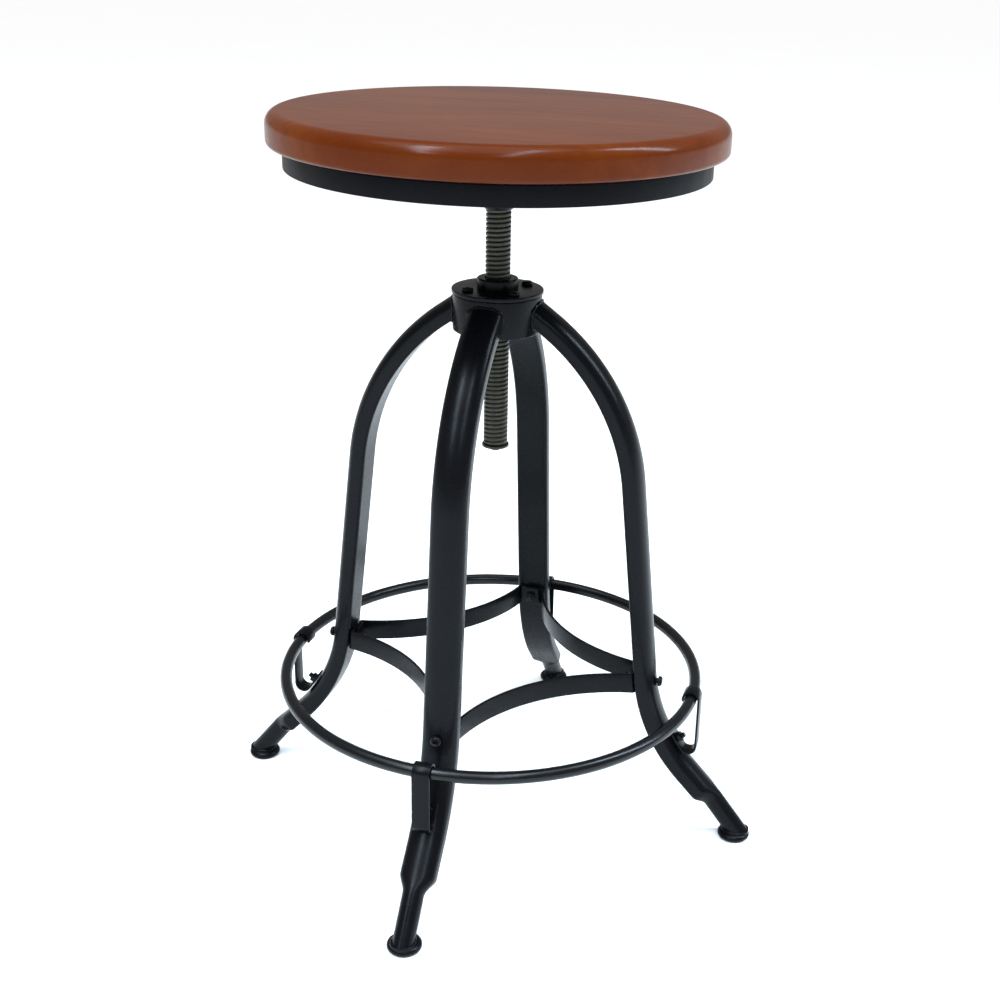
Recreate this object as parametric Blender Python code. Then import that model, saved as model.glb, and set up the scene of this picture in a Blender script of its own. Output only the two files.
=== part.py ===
"""Adjustable swivel stool: a wooden seat on a threaded rod, in a hub on four bent legs.

Metres, +Z up. The origin is on the floor under the rod's axis, and the four legs stand on
the X and Y axes. Screwing the seat round in the hub's nut raises or lowers it.
"""
import math

import bmesh
import bpy
from mathutils import Matrix, Vector

# Clearances
GAP = 0.0003                # between pieces that touch
THREAD_GAP = 0.0004         # radial play of the rod in its nut and in the seat flange
HOLE_GAP = 0.0004           # radial play of screws and bolts in their holes
COPE_GAP = 0.0008           # between the hub's round side and the coped leg ends

# Seat
SEAT_TOP = 0.612            # height of the seat at rest
SEAT_RADIUS = 0.1775        # a 14 inch disc
SEAT_THICKNESS = 0.025
SEAT_TOP_ROUND = 0.010
SEAT_BOTTOM_ROUND = 0.0035
PAN_RADIUS = 0.1655
PAN_HEIGHT = 0.0172
PAN_WALL = 0.0018
PAN_BEND = 0.003
FLANGE_RADIUS = 0.055
FLANGE_THICKNESS = 0.004
BOSS_RADIUS = 0.0132
BOSS_BOTTOM = 0.538
SEAT_SCREW_CIRCLE = 0.042

# Threaded rod, 20 mm across with a 3.7 mm pitch, drawn at its crests
ROD_RADIUS = 0.010
ROD_BOTTOM = 0.343
STOP_WASHER_RADIUS = 0.0112
STOP_WASHER_THICKNESS = 0.002
STOP_SCREW_RADIUS = 0.0025

# Hub
HUB_RADIUS = 0.036
HUB_BOTTOM = 0.441
HUB_TOP = 0.471
HUB_PLATE_RADIUS = 0.037
HUB_PLATE_THICKNESS = 0.0032
HUB_SCREW_CIRCLE = 0.027
NUT_COLLAR_RADIUS = 0.0165
NUT_COLLAR_HEIGHT = 0.0085
NUT_BARREL_RADIUS = 0.0125

# Legs: a D-shaped tube bent in a vertical plane through the rod's axis
LEG_WIDTH = 0.029
LEG_DEPTH = 0.0171
LEG_CROWN = 0.0085          # height of the rounded outer face
LEG_CORNER = 0.002
LEG_WALL = 0.0015
LEG_START = (0.0445, 0.4502)            # radius and height where the top bend begins
LEG_START_SLOPE = math.radians(35.5)    # below horizontal
LEG_TOP_BEND = 0.1836
LEG_FLARE = math.radians(6.2)           # the long run leans this far from vertical
LEG_RUN = 0.174
LEG_LOW_BEND = 0.148
LEG_LOW_SLOPE = math.radians(46.5)      # below horizontal, down to the swage
SWAGE_TOP = 0.045
SWAGE_BOTTOM = 0.0355
STUB_RADIUS = 0.00875
STUB_SLOPE = math.radians(51.5)
STUB_SHIFT = 0.0005         # the round stub sits this far towards the leg's outer face
CAVITY_FLOOR = 0.056        # height where the tube closes before its swage

# Feet
FOOT_RADIUS = 0.014
FOOT_HEIGHT = 0.0066
FOOT_SEAT_RADIUS = 0.0105
FOOT_CENTRE = 0.2256

# Braces: upright flat bars, two bolted to the inner face of each leg
BRACE_HEIGHT = 0.018
BRACE_THICKNESS = 0.0025
BRACE_LEVEL = 0.1425
BRACE_TAB_REACH = 0.0055    # how far a tab runs past the bolt
BRACE_STEP = (0.0093, 0.0063)       # where the second tab steps over the first
BRACE_BOW_CENTRE = 0.1595   # x and y of the point midway between two legs that a bow bends about
BRACE_BOW_RADIUS = 0.1515
BRACE_CORNER = 0.002

# Foot ring and its brackets
RING_RADIUS = 0.180
RING_TUBE = 0.0052
RING_LEVEL = 0.132
BRACKET_WIDTH = 0.0146
BRACKET_THICKNESS = 0.002
FLAP_LOW = 0.0765           # ends of the bracket's flap and the stud, as heights on the
FLAP_HIGH = 0.0905          # leg's middle line
STUD_LEVEL = 0.0845
HOOK_START = math.radians(195)
HOOK_GAP = 0.0007           # the ring curves inside the straight hook

# Fasteners: radius of the shank, radius and height of the head
SEAT_SCREW = (0.0023, 0.0048, 0.003)
HUB_SCREW = (0.002, 0.00465, 0.0028)
BRACE_BOLT = (0.0025, 0.0044, 0.0034)
STUD_RADIUS = 0.0023
STUD_LENGTH = 0.0089
NUT_HALF_WIDTH = 0.004      # across flats, halved
NUT_HEIGHT = 0.0034

LEG_NAMES = ("right", "back", "left", "front")
LEG_ANGLES = (0.0, 0.5 * math.pi, math.pi, -0.5 * math.pi)
SCREW_ANGLES = [angle + 0.25 * math.pi for angle in LEG_ANGLES]
SMOOTH_ANGLE = math.radians(35)

# Heights worked out from the driving dimensions
WOOD_BOTTOM = SEAT_TOP - SEAT_THICKNESS
PAN_TOP = WOOD_BOTTOM - GAP
PAN_UNDERSIDE = PAN_TOP - PAN_WALL
FLANGE_TOP = PAN_UNDERSIDE - GAP
FLANGE_BOTTOM = FLANGE_TOP - FLANGE_THICKNESS
ROD_TOP = FLANGE_TOP - GAP
HUB_PLATE_BOTTOM = HUB_TOP + GAP
HUB_PLATE_TOP = HUB_PLATE_BOTTOM + HUB_PLATE_THICKNESS
BORE_RADIUS = ROD_RADIUS + THREAD_GAP


def clear_scene():
    """Remove every object that the file holds."""
    for thing in list(bpy.data.objects):
        bpy.data.objects.remove(thing, do_unlink=True)


def make_material(name, colour, roughness, metallic):
    """A plain Principled material."""
    material = bpy.data.materials.new(name)
    material.use_nodes = True
    shader = material.node_tree.nodes["Principled BSDF"]
    shader.inputs["Base Color"].default_value = (*colour, 1.0)
    shader.inputs["Roughness"].default_value = roughness
    shader.inputs["Metallic"].default_value = metallic
    return material


def finish_mesh(name, shape):
    """Turn a bmesh into a mesh with outward faces and smooth round sides."""
    bmesh.ops.remove_doubles(shape, verts=shape.verts, dist=1e-6)
    bmesh.ops.recalc_face_normals(shape, faces=shape.faces)
    mesh = bpy.data.meshes.new(name)
    shape.to_mesh(mesh)
    shape.free()
    mesh.shade_smooth()
    mesh.set_sharp_from_angle(angle=SMOOTH_ANGLE)
    return mesh


def place(name, mesh, material, parent, angle=0.0):
    """Add an object that carries the mesh, turned about the rod's axis."""
    thing = bpy.data.objects.new(name, mesh)
    thing.rotation_euler.z = angle
    thing.parent = parent
    if not mesh.materials:
        mesh.materials.append(material)
    bpy.context.scene.collection.objects.link(thing)
    return thing


def make_empty(name, height):
    """An empty on the rod's axis for pieces that move together."""
    empty = bpy.data.objects.new(name, None)
    empty.location.z = height
    empty.empty_display_size = 0.05
    bpy.context.scene.collection.objects.link(empty)
    return empty


def arc(centre, radius, start, end, steps):
    """Points on an arc, both ends included."""
    return [
        (
            centre[0] + radius * math.cos(start + (end - start) * i / steps),
            centre[1] + radius * math.sin(start + (end - start) * i / steps),
        )
        for i in range(steps + 1)
    ]


def lathe(profile, steps, closed):
    """Spin a profile of (radius, height) points about Z; a closed one goes round a bore."""
    shape = bmesh.new()
    verts = [shape.verts.new((radius, 0.0, height)) for radius, height in profile]
    pairs = list(zip(verts, verts[1:]))
    if closed:
        pairs.append((verts[-1], verts[0]))
    edges = [shape.edges.new(pair) for pair in pairs]
    bmesh.ops.spin(
        shape, geom=verts + edges, cent=(0, 0, 0), axis=(0, 0, 1),
        angle=2 * math.pi, steps=steps, use_merge=True,
    )
    return shape


def loft(rings):
    """Join rings of points into one closed tube with flat caps."""
    shape = bmesh.new()
    loops = [[shape.verts.new(point) for point in ring] for ring in rings]
    count = len(loops[0])
    for near, far in zip(loops, loops[1:]):
        for i in range(count):
            j = (i + 1) % count
            shape.faces.new((near[i], near[j], far[j], far[i]))
    shape.faces.new(loops[0])
    shape.faces.new(loops[-1])
    return shape


def merge(shapes):
    """Collect several bmeshes in one."""
    whole = bmesh.new()
    for shape in shapes:
        mesh = bpy.data.meshes.new("piece")
        shape.to_mesh(mesh)
        shape.free()
        whole.from_mesh(mesh)
        bpy.data.meshes.remove(mesh)
    return whole


def four_holes(circle, radius, bottom, top):
    """Cutters for four upright screw holes, midway between the legs."""
    copies = []
    for angle in SCREW_ANGLES:
        shape = rod_shape(radius, bottom, top, 8)
        spot = Vector((circle * math.cos(angle), circle * math.sin(angle), 0))
        bmesh.ops.translate(shape, verts=shape.verts, vec=spot)
        copies.append(shape)
    return merge(copies)


def rod_shape(radius, bottom, top, sides=12):
    """A plain upright cylinder, for cutters and studs."""
    return lathe([(0, bottom), (radius, bottom), (radius, top), (0, top)], sides, False)


def cut(mesh, cutter_shape):
    """Take the cutter out of a mesh and return the result."""
    body = bpy.data.objects.new("body", mesh)
    cutter = bpy.data.objects.new("cutter", finish_mesh("cutter", cutter_shape))
    cutter.hide_render = True
    cutter.display_type = "WIRE"
    for thing in (body, cutter):
        bpy.context.scene.collection.objects.link(thing)
    boolean = body.modifiers.new("Hole", "BOOLEAN")
    boolean.operation = "DIFFERENCE"
    boolean.solver = "EXACT"
    boolean.object = cutter
    bpy.context.view_layer.update()
    seen = body.evaluated_get(bpy.context.evaluated_depsgraph_get())
    result = bpy.data.meshes.new_from_object(seen)
    bpy.data.objects.remove(body)
    bpy.data.objects.remove(cutter)
    result.name = mesh.name
    result.materials.clear()
    return result


def pan_head(shank_radius, head_radius, head_height, length, sides=12):
    """A screw standing head down: the head's seat is at height 0, the shank runs up."""
    shoulder = 0.45 * head_height
    profile = [
        (0, -head_height),
        (0.6 * head_radius, -head_height),
        (0.92 * head_radius, -head_height + 0.25 * shoulder),
        (head_radius, -shoulder),
        (head_radius, 0),
        (shank_radius, 0),
        (shank_radius, length),
        (0, length),
    ]
    return lathe(profile, sides, False)


def hex_nut(half_width, bore, height):
    """A hexagon nut standing on height 0."""
    corner = half_width / math.cos(math.pi / 6)
    sides = 12
    rings = []
    for radius, level in ((None, 0), (bore, 0), (bore, height), (None, height), (None, 0)):
        ring = []
        for i in range(sides):
            angle = 2 * math.pi * i / sides
            reach = radius or (corner if i % 2 == 0 else half_width)
            ring.append((reach * math.cos(angle), reach * math.sin(angle), level))
        rings.append(ring)
    shape = bmesh.new()
    loops = [[shape.verts.new(point) for point in ring] for ring in rings[:4]]
    loops.append(loops[0])
    for near, far in zip(loops, loops[1:]):
        for i in range(sides):
            j = (i + 1) % sides
            shape.faces.new((near[i], near[j], far[j], far[i]))
    return shape


# ---------------------------------------------------------------- leg outline

def leg_stations():
    """The leg's middle line as (radius, height, slope below horizontal), top to bottom."""
    radius, height = LEG_START
    run_slope = math.pi / 2 - LEG_FLARE
    back = (radius - 0.018) / math.cos(LEG_START_SLOPE)
    stations = [(
        radius - back * math.cos(LEG_START_SLOPE),
        height + back * math.sin(LEG_START_SLOPE),
        LEG_START_SLOPE,
    )]

    def bend(here, bend_radius, end_slope, steps):
        """Follow an arc whose slope turns evenly from here to the end slope."""
        radius, height, slope = here
        turn = (end_slope - slope) / steps
        side = math.copysign(bend_radius, turn)
        centre = (radius - side * math.sin(slope), height - side * math.cos(slope))
        return [
            (
                centre[0] + side * math.sin(slope + turn * (i + 1)),
                centre[1] + side * math.cos(slope + turn * (i + 1)),
                slope + turn * (i + 1),
            )
            for i in range(steps)
        ]

    def straight(here, length):
        """Go straight on."""
        radius, height, slope = here
        return (radius + length * math.cos(slope), height - length * math.sin(slope), slope)

    stations.append((radius, height, LEG_START_SLOPE))
    stations += bend(stations[-1], LEG_TOP_BEND, run_slope, 6)
    stations.append(straight(stations[-1], LEG_RUN))
    stations += bend(stations[-1], LEG_LOW_BEND, LEG_LOW_SLOPE, 4)
    return stations


def station_at(height):
    """The leg's middle line at a height between the hub and the swage."""
    stations = leg_stations()
    last = stations[-1]
    if height <= last[1]:
        return (last[0] + (last[1] - height) / math.tan(last[2]), height, last[2])
    for upper, lower in zip(stations, stations[1:]):
        if lower[1] <= height <= upper[1]:
            part = (upper[1] - height) / (upper[1] - lower[1])
            return (
                upper[0] + part * (lower[0] - upper[0]),
                height,
                upper[2] + part * (lower[2] - upper[2]),
            )
    raise ValueError(height)


def d_section(inset):
    """The D-shaped section as (outward, sideways) points about its middle."""
    half_depth = LEG_DEPTH / 2 - inset
    half_width = LEG_WIDTH / 2 - inset
    crown = LEG_CROWN - inset / 2
    shoulder = half_depth - crown
    corner = LEG_CORNER
    crown_points = [
        (shoulder + crown * math.sin(math.pi * i / 6), half_width * math.cos(math.pi * i / 6))
        for i in range(7)
    ]
    left = [
        (-half_depth + corner, -half_width),
        (-half_depth + 0.29 * corner, -half_width + 0.29 * corner),
        (-half_depth, -half_width + corner),
    ]
    right = [(outward, -sideways) for outward, sideways in reversed(left)]
    return crown_points + left + [(-half_depth, 0.0)] + right


def round_section(radius, shift):
    """A round section whose points follow those of the D."""
    points = []
    for outward, sideways in d_section(0):
        angle = math.atan2(outward / LEG_DEPTH, sideways / LEG_WIDTH)
        points.append((shift + radius * math.sin(angle), radius * math.cos(angle)))
    return points


def blend(first, second, part):
    """A section part of the way from the first to the second."""
    return [
        (a[0] + part * (b[0] - a[0]), a[1] + part * (b[1] - a[1]))
        for a, b in zip(first, second)
    ]


def ring_at(station, section):
    """Section points square to the leg's middle line: X outward, Y sideways."""
    radius, height, slope = station
    return [
        (radius + outward * math.sin(slope), sideways, height + outward * math.cos(slope))
        for outward, sideways in section
    ]


def cope_to_hub(station, section):
    """Section points moved along the leg until they meet the hub's round side."""
    reach = HUB_RADIUS + COPE_GAP
    points = []
    for x, y, z in ring_at(station, section):
        step = (math.sqrt(reach * reach - y * y) - x) / math.cos(station[2])
        points.append((reach_x(x, step, station[2]), y, z - step * math.sin(station[2])))
    return points


def reach_x(x, step, slope):
    """How far out a step down the slope ends."""
    return x + step * math.cos(slope)


def rest_on_foot(station, section, level):
    """Section points moved along the leg down to a level plane."""
    points = []
    for x, y, z in ring_at(station, section):
        step = (z - level) / math.sin(station[2])
        points.append((reach_x(x, step, station[2]), y, level))
    return points


def leg_mesh():
    """One hollow leg with its swaged round stub, along +X."""
    stations = leg_stations()
    outer, inner, stub = d_section(0), d_section(LEG_WALL), round_section(STUB_RADIUS, STUB_SHIFT)
    rings = [ring_at(station_at(CAVITY_FLOOR), inner)]
    rings += [ring_at(station, inner) for station in reversed(stations[1:])]
    rings.append(cope_to_hub(stations[0], inner))
    rings.append(cope_to_hub(stations[0], outer))
    rings += [ring_at(station, outer) for station in stations[1:]]
    swage_top = station_at(SWAGE_TOP)
    swage_mid = station_at((SWAGE_TOP + SWAGE_BOTTOM) / 2)
    bottom = station_at(SWAGE_BOTTOM)
    swage_bottom = (bottom[0], bottom[1], STUB_SLOPE)
    rings.append(ring_at(swage_top, outer))
    rings.append(ring_at(swage_mid, blend(outer, stub, 0.55)))
    rings.append(ring_at(swage_bottom, stub))
    rings.append(rest_on_foot(swage_bottom, stub, FOOT_HEIGHT + GAP))
    mesh = finish_mesh("leg", loft(rings))
    return cut(mesh, bolt_hole())


def bolt_hole():
    """A hole along X at the height of the brace bolt."""
    shape = rod_shape(BRACE_BOLT[0] + HOLE_GAP, 0.10, 0.17)
    bmesh.ops.rotate(
        shape, verts=shape.verts, cent=(0, 0, 0), matrix=Matrix.Rotation(math.pi / 2, 3, "Y")
    )
    bmesh.ops.translate(shape, verts=shape.verts, vec=(0, 0, BRACE_LEVEL))
    return shape


def leg_face(height, side):
    """Radius of the leg's outer (side 1) or inner (side -1) face at a height."""
    middle = station_at(height)
    return middle[0] + side * LEG_DEPTH / 2 / math.sin(middle[2])


# ---------------------------------------------------------------- seat

def wood_seat_mesh():
    """The round wooden seat with its pilot holes."""
    low, high = WOOD_BOTTOM, SEAT_TOP
    bottom = arc(
        (SEAT_RADIUS - SEAT_BOTTOM_ROUND, low + SEAT_BOTTOM_ROUND),
        SEAT_BOTTOM_ROUND, -math.pi / 2, 0, 2,
    )
    top = arc(
        (SEAT_RADIUS - SEAT_TOP_ROUND, high - SEAT_TOP_ROUND), SEAT_TOP_ROUND, 0, math.pi / 2, 5
    )
    mesh = finish_mesh("wood_seat", lathe([(0, low)] + bottom + top + [(0, high)], 60, False))
    return cut(mesh, seat_screw_holes(low - 0.01, low + 0.0165))


def seat_screw_holes(bottom, top):
    """Four holes for the seat screws."""
    return four_holes(SEAT_SCREW_CIRCLE, SEAT_SCREW[0] + HOLE_GAP, bottom, top)


def seat_pan_mesh():
    """The pressed steel pan under the seat: a flat disc with a turned-down rim."""
    outer, wall = PAN_RADIUS, PAN_WALL
    rim_bottom = PAN_TOP - PAN_HEIGHT
    bend_out = arc((outer - PAN_BEND, PAN_TOP - PAN_BEND), PAN_BEND, 0, math.pi / 2, 2)
    bend_in = arc(
        (outer - PAN_BEND, PAN_TOP - PAN_BEND), PAN_BEND - wall, math.pi / 2, 0, 2
    )
    profile = [(outer - wall, rim_bottom), (outer, rim_bottom)]
    profile += bend_out + [(0, PAN_TOP), (0, PAN_UNDERSIDE)] + bend_in
    shape = lathe(profile, 60, True)
    bmesh.ops.dissolve_degenerate(shape, edges=shape.edges, dist=1e-6)
    mesh = finish_mesh("seat_pan", shape)
    return cut(mesh, seat_screw_holes(PAN_UNDERSIDE - 0.01, PAN_TOP + 0.01))


def seat_flange_mesh():
    """The flange that carries the seat, with the boss that holds the rod's top end."""
    top, plate, bore = FLANGE_TOP, FLANGE_BOTTOM, BORE_RADIUS
    profile = [
        (bore, top),
        (bore, BOSS_BOTTOM),
        (bore + 0.0006, BOSS_BOTTOM),
        (BOSS_RADIUS, BOSS_BOTTOM + 0.004),
        (BOSS_RADIUS + 0.0014, plate - 0.006),
        (BOSS_RADIUS + 0.007, plate),
        (FLANGE_RADIUS - 0.001, plate),
        (FLANGE_RADIUS, plate + 0.001),
        (FLANGE_RADIUS, top),
    ]
    mesh = finish_mesh("seat_flange", lathe(profile, 32, True))
    return cut(mesh, seat_screw_holes(plate - 0.01, top + 0.01))


def seat_screw_mesh():
    """A screw up through the flange and the pan into the wood."""
    shank, head, height = SEAT_SCREW
    shape = pan_head(shank, head, height, WOOD_BOTTOM + 0.016 - FLANGE_BOTTOM, 8)
    bmesh.ops.translate(shape, verts=shape.verts, vec=(SEAT_SCREW_CIRCLE, 0, FLANGE_BOTTOM - GAP))
    return finish_mesh("seat_screw", shape)


# ---------------------------------------------------------------- rod and its stop

def screw_rod_mesh():
    """The threaded rod at its crests, with a tapped hole in its lower end."""
    bore, depth = STOP_SCREW_RADIUS + HOLE_GAP, 0.018
    profile = [
        (0, ROD_TOP),
        (ROD_RADIUS - 0.001, ROD_TOP),
        (ROD_RADIUS, ROD_TOP - 0.001),
        (ROD_RADIUS, ROD_BOTTOM + 0.0012),
        (ROD_RADIUS - 0.0012, ROD_BOTTOM),
        (bore, ROD_BOTTOM),
        (bore, ROD_BOTTOM + depth),
        (0, ROD_BOTTOM + depth),
    ]
    return finish_mesh("screw_rod", lathe(profile, 24, False))


def stop_washer_mesh():
    """The loose washer that stops the rod from being wound out of its nut."""
    bottom = ROD_BOTTOM - GAP - STOP_WASHER_THICKNESS
    inner, outer = STOP_SCREW_RADIUS + HOLE_GAP, STOP_WASHER_RADIUS
    profile = [
        (inner, bottom),
        (outer, bottom),
        (outer, bottom + STOP_WASHER_THICKNESS),
        (inner, bottom + STOP_WASHER_THICKNESS),
    ]
    return finish_mesh("stop_washer", lathe(profile, 24, True))


def stop_screw_mesh():
    """The screw that holds the stop washer under the rod."""
    shape = pan_head(STOP_SCREW_RADIUS, 0.005, 0.0032, 0.0185, 16)
    seat = ROD_BOTTOM - STOP_WASHER_THICKNESS - 2 * GAP
    bmesh.ops.translate(shape, verts=shape.verts, vec=(0, 0, seat))
    return finish_mesh("stop_screw", shape)


# ---------------------------------------------------------------- hub

def hub_screw_holes(bottom, top):
    """Four holes for the screws of the hub plate."""
    return four_holes(HUB_SCREW_CIRCLE, HUB_SCREW[0] + HOLE_GAP, bottom, top)


def hub_body_mesh():
    """The steel ring that the legs are welded to."""
    bore = NUT_BARREL_RADIUS + HOLE_GAP
    profile = [
        (bore, HUB_TOP),
        (bore, HUB_BOTTOM),
        (HUB_RADIUS - 0.001, HUB_BOTTOM),
        (HUB_RADIUS, HUB_BOTTOM + 0.001),
        (HUB_RADIUS, HUB_TOP),
    ]
    mesh = finish_mesh("hub_body", lathe(profile, 40, True))
    return cut(mesh, hub_screw_holes(HUB_TOP - 0.0145, HUB_TOP + 0.01))


def hub_plate_mesh():
    """The cover plate on the hub."""
    bore = NUT_BARREL_RADIUS + HOLE_GAP
    bottom, top = HUB_PLATE_BOTTOM, HUB_PLATE_TOP
    profile = [
        (bore, top),
        (bore, bottom),
        (HUB_PLATE_RADIUS, bottom),
        (HUB_PLATE_RADIUS, top - 0.0008),
        (HUB_PLATE_RADIUS - 0.0008, top),
    ]
    mesh = finish_mesh("hub_plate", lathe(profile, 40, True))
    return cut(mesh, hub_screw_holes(bottom - 0.01, top + 0.01))


def hub_nut_mesh():
    """The flanged nut that the rod turns in, let into the hub from above."""
    bottom, seat = HUB_BOTTOM + GAP, HUB_PLATE_TOP + GAP
    top = seat + NUT_COLLAR_HEIGHT
    profile = [
        (BORE_RADIUS, top),
        (BORE_RADIUS, bottom),
        (NUT_BARREL_RADIUS, bottom),
        (NUT_BARREL_RADIUS, seat),
        (NUT_COLLAR_RADIUS, seat),
        (NUT_COLLAR_RADIUS, top - 0.001),
        (NUT_COLLAR_RADIUS - 0.001, top),
    ]
    return finish_mesh("hub_nut", lathe(profile, 28, True))


def hub_screw_mesh():
    """A screw down through the hub plate."""
    shank, head, height = HUB_SCREW
    shape = pan_head(shank, head, height, HUB_PLATE_THICKNESS + 0.0135, 10)
    turn = Matrix.Rotation(math.pi, 3, "X")
    bmesh.ops.rotate(shape, verts=shape.verts, cent=(0, 0, 0), matrix=turn)
    bmesh.ops.translate(shape, verts=shape.verts, vec=(HUB_SCREW_CIRCLE, 0, HUB_PLATE_TOP + GAP))
    return finish_mesh("hub_screw", shape)


# ---------------------------------------------------------------- feet, braces and bolts

def foot_mesh():
    """The button that a leg's stub is welded to."""
    profile = [
        (0, 0),
        (FOOT_RADIUS - 0.0022, 0),
        (FOOT_RADIUS - 0.0005, 0.0011),
        (FOOT_RADIUS, 0.0027),
        (FOOT_RADIUS - 0.0009, 0.0046),
        (FOOT_SEAT_RADIUS, FOOT_HEIGHT),
        (0, FOOT_HEIGHT),
    ]
    shape = lathe(profile, 20, False)
    bmesh.ops.translate(shape, verts=shape.verts, vec=(FOOT_CENTRE, 0, 0))
    return finish_mesh("foot", shape)


def brace_bend(tab):
    """Where a tab at this radius bends into the bow: the side shift and how far it turns."""
    reach = BRACE_BOW_CENTRE - (tab - BRACE_CORNER)
    side = BRACE_BOW_CENTRE - math.sqrt((BRACE_BOW_RADIUS + BRACE_CORNER) ** 2 - reach * reach)
    return side, math.atan2(BRACE_BOW_CENTRE - side, reach)


def brace_path():
    """Middle line of a brace from the leg on +X to the leg on +Y, with how far each point leans."""
    tab = leg_face(BRACE_LEVEL, -1) - GAP - BRACE_THICKNESS / 2
    stepped_tab = tab - BRACE_THICKNESS - GAP
    side, turn = brace_bend(tab)
    turn_in = arc((tab - BRACE_CORNER, side), BRACE_CORNER, 0, turn, 3)
    bow_centre = (BRACE_BOW_CENTRE, BRACE_BOW_CENTRE)
    sweep = arc(bow_centre, BRACE_BOW_RADIUS, turn - math.pi, -math.pi / 2 - turn, 12)
    start = [(x, y, lean) for (x, y), lean in zip(turn_in, (1.0, 0.85, 0.35, 0.0))]
    path = [(tab, -BRACE_TAB_REACH, 1.0)] + start
    path += [(x, y, 0.0) for x, y in sweep[1:-1]]
    path += [(y, x, lean) for x, y, lean in reversed(start)]
    path += [(BRACE_STEP[0], tab, 1.0), (BRACE_STEP[1], stepped_tab, 1.0)]
    path.append((-BRACE_TAB_REACH, stepped_tab, 1.0))
    return path


def brace_mesh():
    """One brace: an upright flat bar bowed inwards, with a tab at each end."""
    path = brace_path()
    middle = station_at(BRACE_LEVEL)
    lean = 1 / math.tan(middle[2])
    rings = []
    for i, (x, y, slant) in enumerate(path):
        before, after = path[max(i - 1, 0)], path[min(i + 1, len(path) - 1)]
        along = Vector((after[0] - before[0], after[1] - before[1], 0)).normalized()
        across = Vector((-along.y, along.x, 0)) * BRACE_THICKNESS / 2
        outward = Vector((1, 0, 0)) if i < len(path) / 2 else Vector((0, 1, 0))
        ring = []
        for rise, side in ((-0.5, -1), (0.5, -1), (0.5, 1), (-0.5, 1)):
            level = rise * BRACE_HEIGHT
            point = Vector((x, y, BRACE_LEVEL + level)) + side * across
            ring.append(point - outward * slant * lean * level)
        rings.append(ring)
    mesh = cut(finish_mesh("brace", loft(rings)), bolt_hole())
    second_hole = bolt_hole()
    bmesh.ops.rotate(
        second_hole, verts=second_hole.verts, cent=(0, 0, 0),
        matrix=Matrix.Rotation(math.pi / 2, 3, "Z"),
    )
    return cut(mesh, second_hole)


def brace_inner_side():
    """Radius of the innermost brace tab's free face at the bolt."""
    return leg_face(BRACE_LEVEL, -1) - 2 * (GAP + BRACE_THICKNESS)


def brace_nut_outer():
    """Radius where the brace nut starts, clear of the leaning tab."""
    lean = 1 / math.tan(station_at(BRACE_LEVEL)[2])
    return brace_inner_side() - GAP - lean * NUT_HALF_WIDTH * 1.16


def brace_bolt_mesh():
    """The bolt from the leg's outer face through two brace tabs."""
    shank, head, height = BRACE_BOLT
    seat = leg_face(BRACE_LEVEL - head, 1) + GAP
    length = seat - brace_nut_outer() + NUT_HEIGHT + 0.002
    shape = pan_head(shank, head, height, length, 12)
    turn = Matrix.Rotation(-math.pi / 2, 3, "Y")
    bmesh.ops.rotate(shape, verts=shape.verts, cent=(0, 0, 0), matrix=turn)
    bmesh.ops.translate(shape, verts=shape.verts, vec=(seat, 0, BRACE_LEVEL))
    return finish_mesh("brace_bolt", shape)


def brace_nut_mesh():
    """The nut on the brace bolt."""
    shape = hex_nut(NUT_HALF_WIDTH, BRACE_BOLT[0] + HOLE_GAP, NUT_HEIGHT)
    turn = Matrix.Rotation(-math.pi / 2, 3, "Y")
    bmesh.ops.rotate(shape, verts=shape.verts, cent=(0, 0, 0), matrix=turn)
    bmesh.ops.translate(shape, verts=shape.verts, vec=(brace_nut_outer(), 0, BRACE_LEVEL))
    return finish_mesh("brace_nut", shape)


# ---------------------------------------------------------------- foot ring and brackets

def foot_ring_mesh():
    """The round bar that the feet rest on."""
    profile = arc((RING_RADIUS, RING_LEVEL), RING_TUBE, 0, 2 * math.pi, 10)[:-1]
    return finish_mesh("foot_ring", lathe(profile, 48, True))


def crown_frame(height):
    """A point on the leg's crown beside its middle line, with the directions out and down."""
    middle = station_at(height)
    slope = middle[2]
    out = Vector((math.sin(slope), 0, math.cos(slope)))
    down = Vector((math.cos(slope), 0, -math.sin(slope)))
    crown = Vector((middle[0], 0, middle[1])) + out * LEG_DEPTH / 2
    return crown, out, down


def bracket_path():
    """Middle line of a bracket as (radius, height): hook, strap, bend and flap."""
    half = BRACKET_THICKNESS / 2
    hook = RING_TUBE + HOOK_GAP + half
    strap = RING_RADIUS + hook
    flap = []
    for i in range(4):
        crown, out, _ = crown_frame(FLAP_LOW + (FLAP_HIGH - FLAP_LOW) * i / 3)
        flap.append(crown + out * (GAP + half))
    _, _, down = crown_frame(FLAP_LOW)
    tangent = (strap - flap[0].x) / down.x
    turn = math.pi - math.acos(-down.z)
    bend = tangent / math.tan(turn / 2)
    centre = (strap - bend, flap[0].z + down.z * tangent + tangent)
    points = arc((RING_RADIUS, RING_LEVEL), hook, HOOK_START, 0, 9)
    points += arc(centre, bend, 0, -turn, 6)
    return points + [(point.x, point.z) for point in flap[1:]]


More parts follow.
